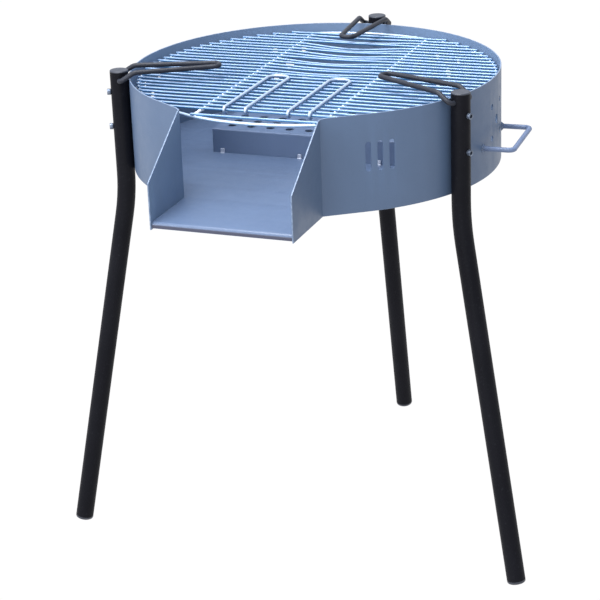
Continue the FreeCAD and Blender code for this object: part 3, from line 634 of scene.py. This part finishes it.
def band_line(radius, half, fold):
    """Plan points of one face of the band with matching stations."""
    corner = (half * SIN - radius) / COS
    tl = fold * math.tan(TURN / 2)
    low = Vector((half, corner - tl))
    centre = Vector((half + fold, corner - tl))
    touch = Vector((radius * SIN, -radius * COS))
    pts = []
    nchk = 5
    for k in range(nchk):
        pts.append(Vector((half, -REACH + (low.y + REACH) * k / nchk)))
    nf = 10
    for k in range(nf + 1):
        a = math.pi - TURN * k / nf
        pts.append(centre + Vector((math.cos(a), math.sin(a))) * fold)
    high = pts[-1]
    for k in range(1, 3):
        pts.append(high.lerp(touch, k / 3))
    a0 = -math.pi / 2 + BETA
    a1 = 1.5 * math.pi - BETA
    na = 240
    for k in range(na + 1):
        a = a0 + (a1 - a0) * k / na
        pts.append(Vector((radius * math.cos(a), radius * math.sin(a))))
    right = pts[: nchk + nf + 1 + 2]
    pts += [Vector((-p.x, p.y)) for p in reversed(right)]
    return pts


outer_line = band_line(R, HALF, FOLD)
inner_line = band_line(R - T, HALF - T, FOLD + T)
s = 0.0
cols = []
angle_s = []
for i, (a, b) in enumerate(zip(outer_line, inner_line)):
    if i:
        # stations are measured on the face with the longer run so that none collapses
        s += max((outer_line[i] - outer_line[i - 1]).length, (inner_line[i] - inner_line[i - 1]).length)
    cols.append((s, a.copy(), b.copy(), lambda p, v: Vector((p.x, p.y + AY, v))))
    angle_s.append((math.degrees(math.atan2(a.y, a.x)) % 360.0, s, i))
S_END = s
ARC0 = 5 + 11 + 2
s_arc0, s_arc1 = cols[ARC0][0], cols[ARC0 + 240][0]


def s_at(azimuth):
    a = math.radians(azimuth)
    a0, a1 = -math.pi / 2 + BETA, 1.5 * math.pi - BETA
    while a < a0:
        a += 2 * math.pi
    return s_arc0 + (s_arc1 - s_arc0) * (a - a0) / (a1 - a0)


corner_y = (HALF * SIN - R) / COS
knee_y, knee_z = corner_y - 0.006, RIM - 0.0026
low_y = outer_line[5].y


def s_cheek(y):
    """Station on the right cheek for a distance along Y."""
    return (y + REACH) / (low_y + REACH) * cols[5][0]


def s_top(y):
    """Station where the band's plan line reaches a Y, just past the fold."""
    for i in range(5, ARC0):
        y0, y1 = outer_line[i].y, outer_line[i + 1].y
        if y0 <= y <= y1:
            return cols[i][0] + (cols[i + 1][0] - cols[i][0]) * (y - y0) / max(1e-9, y1 - y0)
    return cols[ARC0][0]


e = EDGE
k_s = s_cheek(min(knee_y, low_y - 0.0001))
t_s = s_top(corner_y + 0.005)
slope = (knee_z - FRONT_TOP) / (knee_y + REACH)
rise_n = math.sqrt(1 + slope * slope)
boundary = [
    (e, BOTTOM + e),
    (S_END - e, BOTTOM + e),
    (S_END - e, FRONT_TOP + slope * e - e * rise_n),
    (S_END - k_s - e * 0.3, knee_z - e),
    (S_END - t_s, RIM - e),
    (t_s, RIM - e),
    (k_s + e * 0.3, knee_z - e),
    (e, FRONT_TOP + slope * e - e * rise_n),
]
holes = []
for k in range(4):
    az = 2.4 + 58.4 * k
    holes.append(hole(s_at(az), 0.7145, 0.0075 + e, 36))
    for u in (-1, 1):
        for w in (-1, 1):
            da = math.degrees(math.asin(0.0255 / R)) * u
            holes.append(hole(s_at(az + da), 0.7145 + 0.0255 * w, 0.0048 + e, 28))
for az in LEGS.values():
    holes.append(hole(s_at(az), SCREW_HIGH, 0.0033 + e, 20))
    holes.append(hole(s_at(az), SCREW_LOW, 0.0033 + e, 20))
for u in (-0.019, 0.0, 0.019):
    c = s_at(-51.0 + math.degrees(math.asin(u / R)))
    loop, w = [], 0.0045 + e
    for k in range(13):
        a = math.pi * k / 12
        loop.append((c + w * math.cos(a), 0.719 + 0.0185 + w * math.sin(a)))
    for k in range(13):
        a = math.pi + math.pi * k / 12
        loop.append((c + w * math.cos(a), 0.719 - 0.0185 + w * math.sin(a)))
    holes.append(loop)
# slot 2, the inner face, takes the brighter paint that stands in for light inside the drum
band = sheet("drum_band", cols, boundary, holes, EDGE, "frame", [M_PAINT, M_EDGE_HIGHLIGHT, M_INNER_LIT], ["drum_wall"], inner_mat=2)

# ---- floor, chute plate and rolled lip: stations run from the lip's lower edge, round the bend, to the back
BEND, SETBACK, LIP_BOTTOM = 0.006, 0.0015, 0.6355
front_y = -REACH + SETBACK
fcols = []


def floor_column(s, outer, inner):
    # the plan point holds (y, z); v is x
    fcols.append((s, outer, inner, lambda p, v: Vector((v, p.x + AY, p.y))))


stations = [(0.0, Vector((front_y, LIP_BOTTOM)), Vector((front_y + T, LIP_BOTTOM)))]
s = FLOOR - BEND - LIP_BOTTOM
stations.append((s, Vector((front_y, FLOOR - BEND)), Vector((front_y + T, FLOOR - BEND))))
for k in range(1, 13):
    a = math.pi - math.pi / 2 * k / 12
    c = Vector((front_y + BEND, FLOOR - BEND))
    d = Vector((math.cos(a), math.sin(a)))
    s += BEND * (math.pi / 2) / 12
    stations.append((s, c + d * BEND, c + d * (BEND - T)))
flat0 = s
back_y = R - T - GAP
ny = 60
for k in range(1, ny + 1):
    y = front_y + BEND + (back_y + 0.001 - front_y - BEND) * k / ny
    stations.append((flat0 + (y - front_y - BEND), Vector((y, FLOOR)), Vector((y, FLOOR - T))))
for st in stations:
    floor_column(*st)
rf, hf, ff = R - T - GAP, HALF - T - GAP, FOLD + T + GAP
cy = (hf * SIN - rf) / COS
tlf = ff * math.tan(TURN / 2)


def fs(y):
    return flat0 + (y - front_y - BEND)


right_side = [(hf, cy - tlf)]
for k in range(1, 9):
    a = math.pi - TURN * k / 8
    right_side.append((hf + ff + ff * math.cos(a), cy - tlf + ff * math.sin(a)))
for k in range(0, 101):
    a = -math.pi / 2 + BETA + (math.pi - BETA) * k / 100
    right_side.append((rf * math.cos(a), rf * math.sin(a)))
fb = [(0.0 + e, hf - e)] + [(fs(y) + 0.0, x - e) for x, y in right_side[:-1]]
fb = [(min(sv, fs(back_y) - e), xv) for sv, xv in fb]
fb += [(fs(back_y) - e, 0.0)]
floor_boundary = fb + [(sv, -xv) for sv, xv in reversed(fb[:-1])]
# the first coordinate runs along the floor and the second across it
floor_plate = sheet(
    "drum_floor_plate", fcols, list(reversed(floor_boundary)), [], EDGE, "frame", [M_FLOOR, M_EDGE_HIGHLIGHT], ["drum_floor"]
)


# ------------------------------------------------------------------ CAD nodes that stay: finished materials
def dress(node, *mats, bevel=0.0, weld=True, angle=35.0, edge_slot=None):
    ob = NODE[node]
    ob.data.materials.clear()
    for m in mats:
        ob.data.materials.append(m)
    if bevel > 0:
        if weld:
            w = ob.modifiers.new("weld", "WELD")
            w.merge_threshold = 0.000004
        b = ob.modifiers.new("edges", "BEVEL")
        b.width = bevel
        b.segments = 2
        b.limit_method = "ANGLE"
        b.angle_limit = math.radians(angle)
        b.harden_normals = False
        if edge_slot is not None:
            b.material = edge_slot
    return ob


# slot 1 of the tray is the paler edge paint, partly a painted highlight
dress("ember_tray", M_TRAY, M_EDGE_HIGHLIGHT)
dress("side_handle", M_HANDLE)
for k in LEGS:
    dress("leg_" + k, M_TUBE)
    dress("leg_cap_" + k, M_PLASTIC)
    dress("foot_cap_" + k, M_PLASTIC)
    dress("pan_support_" + k, M_ROD)
dress("grate_handle_left", M_LOOP)
dress("grate_handle_right", M_LOOP)

# ------------------------------------------------------------------ wire grate
# ring: one bent wire, butt welded at the back
ring_path = []
for k in range(220):
    a = 2 * math.pi * k / 220
    rr = RING_R + 0.0003 * rnd(math.cos(a) * 2, math.sin(a) * 2, 1.0)
    ring_path.append(Vector((GX + rr * math.cos(a), GY + AY + rr * math.sin(a), RING_Z)))
v, f = tube(ring_path, RING_W, sides=18, closed=True)
b = Build()
b.add(v, f)
joint = []
for k in range(9):
    a = math.radians(74.0) + 0.0022 * (k - 4)
    joint.append(Vector((GX + RING_R * math.cos(a), GY + AY + RING_R * math.sin(a), RING_Z)))
v, f = tube(joint, RING_W + 0.0005, sides=16, chamfer=0.0007, wobble=0.10)
b.add(v, f)
piece("grate_ring_wire", b.v, b.f, "grate", [M_FRAME_LIT], replaces=["grate_ring"])

# cross bars below the rungs
b = Build()
BAR = 0.1035
for side in (-1, 1):
    half = math.sqrt(RING_R**2 - BAR**2) - 0.0017
    path = []
    for k in range(41):
        y = -half + 2 * half * k / 40
        path.append(Vector((GX + side * BAR + 0.0005 * rnd(side, y * 6, 7.0), GY + AY + y, RING_Z)))
    v, f = tube(path, RING_W, sides=16)
    b.add(v, f)
piece("grate_cross_wires", b.v, b.f, "grate", [M_BAR_LIT], replaces=["grate_cross_bars"])

# rungs: drawn wires laid on the ring and bars; between the bars they sag by a few millimetres
SAG = {27: 0.3, 26: 1.2, 25: 3.4, 24: 0.6, 23: 5.6, 22: 5.0, 21: 2.6, 20: 4.6, 19: 3.6, 18: 1.6, 17: 4.4, 16: 2.2, 15: 3.6, 14: 1.4, 13: 2.8, 12: 0.9}
SHIFT = {25: -1.0, 24: 1.2, 23: -2.0, 21: 1.4, 20: -1.2, 18: 1.6, 17: -1.4, 15: 1.2, 14: -1.0}
rung_y = [(-1, -0.2695)] + [(k, -0.235 + 0.0182 * k) for k in range(28)]
b = Build()
spots = []
for k, y in rung_y:
    half = math.sqrt(TIP_R**2 - (y - GY) ** 2)
    n = max(24, int(half * 2 / 0.009))
    path = []
    for i in range(n + 1):
        x = -half + 2 * half * i / n
        u = x / BAR
        z = RUNG_Z
        yy = y
        if abs(u) < 1:
            bell = (1 - u * u) ** 2 * (1 + 0.25 * u * rnd(k, 5.0))
            z -= 0.001 * (SAG.get(k, 0.35 + 0.35 * rnd(k, 2.0))) * bell
            yy += 0.001 * SHIFT.get(k, 0.3 * rnd(k, 9.0)) * bell
        else:
            w = (abs(u) - 1) / max(1e-6, half / BAR - 1)
            z -= 0.00025 * math.sin(math.pi * min(1, w)) * (1 + rnd(k, 3.0, x))
            yy += 0.0004 * math.sin(math.pi * min(1, w)) * rnd(k, 4.0, 1 if x > 0 else -1)
        if k == 0:
            z, yy = RUNG_Z, y
        path.append(Vector((GX + x, yy + AY, z)))
    v, f = tube(path, RUNG_W, sides=12, chamfer=0.0005)
    b.add(v, f)
    for side in (-1, 1):
        if half > BAR + 0.004:
            spots.append((GX + side * BAR, y + AY, k))
        xr = math.sqrt(max(1e-6, RING_R**2 - (y - GY) ** 2))
        spots.append((GX + side * xr, y + AY, k))
piece("grate_rung_wires", b.v, b.f, "grate", [M_WIRE], replaces=["grate_rungs"])

# resistance welds: a small flattened nugget at each crossing
b = Build()
for i, (x, y, k) in enumerate(spots):
    rx = 0.00225 + 0.0003 * rnd(i, 1.0)
    ry = 0.00225 + 0.0003 * rnd(i, 2.0)
    h = 0.00095
    prof = [(0, -h), (0.62, -h * 0.8), (1.0, 0.0), (0.62, h * 0.8), (0, h)]
    v, f = lathe(prof, 10)
    v = [Vector((p.x * rx, p.y * ry, p.z + (RING_Z + RING_W - 0.0001))) + Vector((x, y, 0)) for p in v]
    b.add(v, f)
piece("grate_weld_nuggets", b.v, b.f, "grate", [M_BAR_LIT])


# ------------------------------------------------------------------ socket screws, washers and nuts
def screw(length):
    """Socket head cap screw along local Z, seat at z = 0, shank to -length."""
    head_r, head_h, af = 0.005, 0.006, 0.005
    prof = [
        ("hexfloor", 0.0, head_h - 0.0040),
        ("hex", 1.0, head_h - 0.0032),
        ("hex", 1.0, head_h - 0.0003),
        ("hexrim", 1.0, head_h),
        ("c", head_r - 0.0007, head_h),
        ("c", head_r - 0.0002, head_h - 0.00025),
        ("k", head_r, head_h - 0.0009),
        ("k", head_r, head_h - 0.0022),
        ("k", head_r, 0.0022),
        ("k", head_r, 0.0007),
        ("c", head_r - 0.0004, 0.00012),
        ("c", head_r - 0.0008, 0.0),
        ("c", 0.00335, 0.0),
        ("c", 0.00300, -0.0004),
        ("c", 0.00300, -0.004),
    ]
    sides = 72

    def shape(i, t, r, h):
        kind = prof[i][0]
        if kind in ("hex", "hexrim"):
            d = (t + math.pi / 6) % (math.pi / 3) - math.pi / 6
            rr = af / 2 / math.cos(d)
            return (rr + (0.0002 if kind == "hexrim" else 0.0), h)
        if kind == "k":
            return (r - 0.00011 * (0.5 + 0.5 * math.cos(36 * t)), h)
        return (r, h)

    v1, f1 = lathe([(0.0 if p[0] == "hexfloor" else (p[1] if p[0] in "ck" else 0.0029), p[2]) for p in prof], sides, shape)
    # thread: a helix cut in the shank's surface
    pitch, steps = 0.001, 6
    n = int(length / pitch * steps)
    plain = int(0.004 / pitch * steps)
    v2, f2, seg = [], [], 24
    for i in range(plain, n + 1):
        z = -i * pitch / steps
        left = (length + z) / 0.0006
        for k in range(seg):
            t = 2 * math.pi * k / seg
            ph = (i / steps - k / seg) % 1.0
            r = 0.0030 - 0.00058 * (1 - abs(2 * ph - 1))
            if left < 1:
                r = min(r, 0.0023 + 0.0007 * max(0.0, left))
            v2.append(Vector((r * math.cos(t), r * math.sin(t), z)))
    rows = n + 1 - plain
    for i in range(rows - 1):
        for k in range(seg):
            q = (k + 1) % seg
            f2.append((i * seg + k, (i + 1) * seg + k, (i + 1) * seg + q, i * seg + q))
    f2.append(tuple(range(seg)))
    f2.append(tuple((rows - 1) * seg + k for k in reversed(range(seg))))
    f1.append(tuple(len(v1) - sides + k for k in range(sides)))
    return (v1, f1), (v2, f2)


for label, level, length in (("upper", SCREW_HIGH, 0.045), ("lower", SCREW_LOW, 0.045)):
    b = Build()
    for az in LEGS.values():
        place = radial_place(az, HEAD_SEAT, level)
        for v, f in screw(length):
            b.add(v, f, place=place)
    piece("leg_cap_screws_" + label, b.v, b.f, "frame", [M_SCREW], replaces=["leg_screws_" + label], sharp=32)

wall_seat = math.sqrt((R - T) ** 2 - 0.006**2) - 0.00005
b, c = Build(), Build()
for az in LEGS.values():
    for level in (SCREW_HIGH, SCREW_LOW):
        w = 0.0016
        prof = [(0.0032, -0.0001), (0.00335, 0.0), (0.0057, 0.0), (0.006, -0.0003), (0.006, -w + 0.0002), (0.0058, -w), (0.0034, -w), (0.0032, -w + 0.0001), (0.0032, -0.0001)]
        v, f = lathe(prof, 40)
        b.add(v, f, place=radial_place(az, wall_seat, level))
        flats, th = 0.010, 0.010

        def nut_shape(i, t, r, h):
            d = t % (math.pi / 3) - math.pi / 6
            rh = flats / 2 / math.cos(d)
            if i in (3, 4):
                drop = max(0.0, (rh - 0.0049)) * 0.577
                return (rh, h - drop if i == 3 else h + drop)
            return (r, h)

        prof = [(0.00306, -0.0004), (0.0034, 0.0), (0.0049, 0.0), (0.005, 0.0), (0.005, -th), (0.0049, -th), (0.0034, -th), (0.00306, -th + 0.0004), (0.00306, -0.0004)]
        v, f = lathe(prof, 48, nut_shape)
        c.add(v, f, place=radial_place(az, wall_seat - 0.0016 - 0.00005, level))
piece("leg_wall_washers", b.v, b.f, "frame", [M_SCREW], replaces=["wall_washers"], sharp=32)
piece("leg_wall_nuts", c.v, c.f, "frame", [M_SCREW], replaces=["wall_nuts"], sharp=28)


# ------------------------------------------------------------------ weld beads and stop tabs
def ring_bead(centre_t, azimuth, z, rod_r):
    """Fillet bead where a rod that runs along the radius meets the curved wall."""
    n, rows = 40, []
    verts, faces = [], []
    prof = [(0.0031, -0.0008), (0.0030, 0.0003), (0.0022, 0.0011), (0.0011, 0.0019), (0.0002, 0.0030), (-0.0004, 0.0034)]
    for j, (dr, up) in enumerate(prof):
        row = []
        for k in range(n):
            a = 2 * math.pi * k / n
            lump = 1 + 0.16 * math.sin(9 * a) + 0.22 * rnd(k * 0.55, j * 0.3, centre_t * 40)
            rr = rod_r + dr * (lump if dr > 0 else 1)
            t = centre_t + rr * math.cos(a)
            zz = z + rr * math.sin(a)
            rho = math.sqrt(R * R - t * t) + (up * (lump if up > 0 else 1))
            row.append(len(verts))
            verts.append(polar(azimuth, rho, t, zz))
        rows.append(row)
    for p, q in zip(rows, rows[1:]):
        for k in range(n):
            m = (k + 1) % n
            faces.append((p[k], p[m], q[m], q[k]))
    faces.append(tuple(rows[0]))
    faces.append(tuple(reversed(rows[-1])))
    return verts, faces


b = Build()
for t in (-0.064, 0.064):
    v, f = ring_bead(t, 2.6, 0.683, 0.004)
    b.add(v, f)
piece("side_handle_weld_beads", b.v, b.f, "frame", [M_WELD])


def bead(path, width, height, side_up, out_dir, seed, humps=7):
    """Short weld run: overlapping humps along a line, half sunk in the corner."""
    n, m = len(path), 10
    verts, faces = [], []
    for i, p in enumerate(path):
        tt = i / (n - 1)
        swell = math.sqrt(max(0.0, 1 - (2 * tt - 1) ** 6)) * (0.82 + 0.18 * abs(math.sin(math.pi * humps * tt))) * (1 + 0.10 * rnd(seed, i * 0.6))
        swell = max(0.05, swell)
        for k in range(m):
            a = 2 * math.pi * k / m
            verts.append(p + out_dir[i] * (width * swell * math.cos(a)) + side_up * (height * swell * math.sin(a)))
    for i in range(n - 1):
        for k in range(m):
            q = (k + 1) % m
            faces.append((i * m + k, i * m + q, (i + 1) * m + q, (i + 1) * m + k))
    faces.append(tuple(reversed(range(m))))
    faces.append(tuple((n - 1) * m + k for k in range(m)))
    return verts, faces


b = Build()
up = Vector((0, 0, 1))
for j, az in enumerate((-140, -105 + 0, -40, -8, 32, 66, 114, 148, 188)):
    if -125 < az < -55:
        continue
    path, outs = [], []
    for i in range(22):
        a = az + math.degrees(0.018 / R) * (i / 21 - 0.5)
        path.append(polar(a, R - T - 0.0008, 0, FLOOR - T - 0.0002))
        rr = math.radians(a)
        outs.append(Vector((math.cos(rr), math.sin(rr), 0)))
    v, f = bead(path, 0.0021, 0.0017, up, outs, j)
    b.add(v, f)
for j, (sx, y0) in enumerate(((-1, -0.392), (1, -0.392), (-1, -0.318), (1, -0.318))):
    path, outs = [], []
    for i in range(16):
        path.append(Vector((sx * (HALF - T - 0.0006), y0 + 0.013 * i / 15 + AY, FLOOR - T - 0.0002)))
        outs.append(Vector((sx, 0, 0)))
    v, f = bead(path, 0.0019, 0.0016, up, outs, 20 + j, 5)
    b.add(v, f)
piece("floor_tack_welds", b.v, b.f, "frame", [M_WELD])

b = Build()
for j, x in enumerate((-0.145, -0.010, 0.125)):
    # plate with rounded upper corners, seated on the floor
    w, h, t = 0.0035, 0.0075, 0.001
    prof = [(-w, 0.0), (w, 0.0)]
    for k in range(7):
        a = math.pi / 2 * k / 6
        prof.append((w - 0.0016 + 0.0016 * math.cos(a), h - 0.0016 + 0.0016 * math.sin(a)))
    for k in range(7):
        a = math.pi / 2 + math.pi / 2 * k / 6
        prof.append((-w + 0.0016 + 0.0016 * math.cos(a), h - 0.0016 + 0.0016 * math.sin(a)))
    n = len(prof)
    y = -0.055 - 0.002 - 0.0003 + 0.001 + AY
    verts, faces = [], []
    for dy, inset in ((-t, 0.00025), (-t + 0.0003, 0.0), (t - 0.0003, 0.0), (t, 0.00025)):
        for px, pz in prof:
            cx, cz = px * (1 - inset / w), (pz - h / 2) * (1 - inset / (h / 2)) + h / 2
            verts.append(Vector((x + cx, y + dy, FLOOR + cz)))
    for r_ in range(3):
        for k in range(n):
            q = (k + 1) % n
            faces.append((r_ * n + k, r_ * n + q, (r_ + 1) * n + q, (r_ + 1) * n + k))
    faces.append(tuple(reversed(range(n))))
    faces.append(tuple(3 * n + k for k in range(n)))
    b.add(verts, faces)
    path = [Vector((x - 0.004 + 0.008 * i / 9, y - 0.0011, FLOOR + 0.0003)) for i in range(10)]
    v, f = bead(path, 0.0013, 0.0011, up, [Vector((0, -1, 0))] * 10, 40 + j, 3)
    b.add(v, f)
piece("tray_stop_plates", b.v, b.f, "frame", [M_TAB], replaces=["tray_stop_tabs"])

# ------------------------------------------------------------------ stage, light and camera
fm = bpy.data.materials.new("pale_floor")
fm.use_nodes = True
nt = fm.node_tree
for n in list(nt.nodes):
    nt.nodes.remove(n)
mo = nt.nodes.new("ShaderNodeOutputMaterial")
em = nt.nodes.new("ShaderNodeEmission")
em.inputs[0].default_value = (1.0, 0.995, 1.0, 1)
em.inputs[1].default_value = 1.02
nt.links.new(em.outputs[0], mo.inputs[0])
me = bpy.data.meshes.new("studio_floor")
q = 60.0
me.from_pydata([(-q, -q, -0.0005), (q, -q, -0.0005), (q, q, -0.0005), (-q, q, -0.0005)], [], [(0, 1, 2, 3)])
me.materials.append(fm)
studio = bpy.data.objects.new("studio_floor", me)
scene.collection.objects.link(studio)

world = bpy.data.worlds.new("soft_sky")
scene.world = world
world.use_nodes = True
wn = world.node_tree
bg = wn.nodes["Background"]
tc = wn.nodes.new("ShaderNodeTexCoord")
sep = wn.nodes.new("ShaderNodeSeparateXYZ")
wn.links.new(tc.outputs["Generated"], sep.inputs[0])
rmp = wn.nodes.new("ShaderNodeValToRGB")
els = rmp.color_ramp.elements
stops = [(0.0, (0.52, 0.50, 0.53)), (0.48, (0.60, 0.60, 0.63)), (0.56, (0.78, 0.80, 0.86)), (0.78, (1.15, 1.22, 1.34)), (1.0, (1.30, 1.40, 1.58))]
while len(els) < len(stops):
    els.new(0.5)
for el, (p, col) in zip(els, stops):
    el.position = p
    el.color = (*col, 1)
mr = wn.nodes.new("ShaderNodeMapRange")
mr.inputs["From Min"].default_value = -1.0
mr.inputs["From Max"].default_value = 1.0
wn.links.new(sep.outputs["Z"], mr.inputs["Value"])
wn.links.new(mr.outputs[0], rmp.inputs[0])
side = wn.nodes.new("ShaderNodeMapRange")
side.inputs["From Min"].default_value = -1.0
side.inputs["From Max"].default_value = 1.0
side.inputs["To Min"].default_value = 1.05
side.inputs["To Max"].default_value = 0.60
wn.links.new(sep.outputs["X"], side.inputs["Value"])
wn.links.new(side.outputs[0], bg.inputs[1])
wn.links.new(rmp.outputs[0], bg.inputs[0])


def area(name, where, target, size, power, colour):
    li = bpy.data.lights.new(name, "AREA")
    li.shape = "DISK"
    li.size = size
    li.energy = power
    li.color = colour
    ob = bpy.data.objects.new(name, li)
    ob.location = where
    d = Vector(target) - Vector(where)
    ob.rotation_euler = d.to_track_quat("-Z", "Y").to_euler()
    scene.collection.objects.link(ob)
    return ob


area("key_soft_box", (-2.3, -2.7, 2.5), (0, 0, 0.6), 2.4, 72.0, (0.98, 0.98, 1.0))
area("front_soft_box", (0.1, -3.6, 1.45), (0, 0, 0.7), 1.6, 36.0, (0.95, 0.98, 1.0))
area("top_soft_box", (-0.3, -0.5, 3.6), (0, 0, 0.7), 1.8, 120.0, (0.94, 0.97, 1.0))

az, D, Hc, yaw, pitch, roll = 0.36387933, 3.07500793, 1.58004692, -0.01241248, -0.3718868, -0.03812365
fw = Vector((math.sin(yaw) * math.cos(pitch), math.cos(yaw) * math.cos(pitch), math.sin(pitch)))
rt = Vector((math.cos(yaw), -math.sin(yaw), 0))
uv = rt.cross(fw)
cr, sr = math.cos(roll), math.sin(roll)
rt, uv = rt * cr + uv * sr, rt * -sr + uv * cr
turn = Matrix.Rotation(az, 3, "Z")
loc = turn @ Vector((0, -D, Hc))
rt, uv, fw = turn @ rt, turn @ uv, turn @ fw
loc.y += AY
cam = bpy.data.objects.new("photo_camera", bpy.data.cameras.new("photo_camera"))
cam.data.sensor_width = 36.0
cam.data.lens = 117.14
cam.data.clip_end = 200.0
cam.matrix_world = Matrix(((rt.x, uv.x, -fw.x, loc.x), (rt.y, uv.y, -fw.y, loc.y), (rt.z, uv.z, -fw.z, loc.z), (0, 0, 0, 1)))
scene.collection.objects.link(cam)
scene.camera = cam
scene.view_settings.view_transform = "Standard"
scene.view_settings.look = "None"
scene.view_settings.exposure = 0.0
scene.view_settings.gamma = 1.0
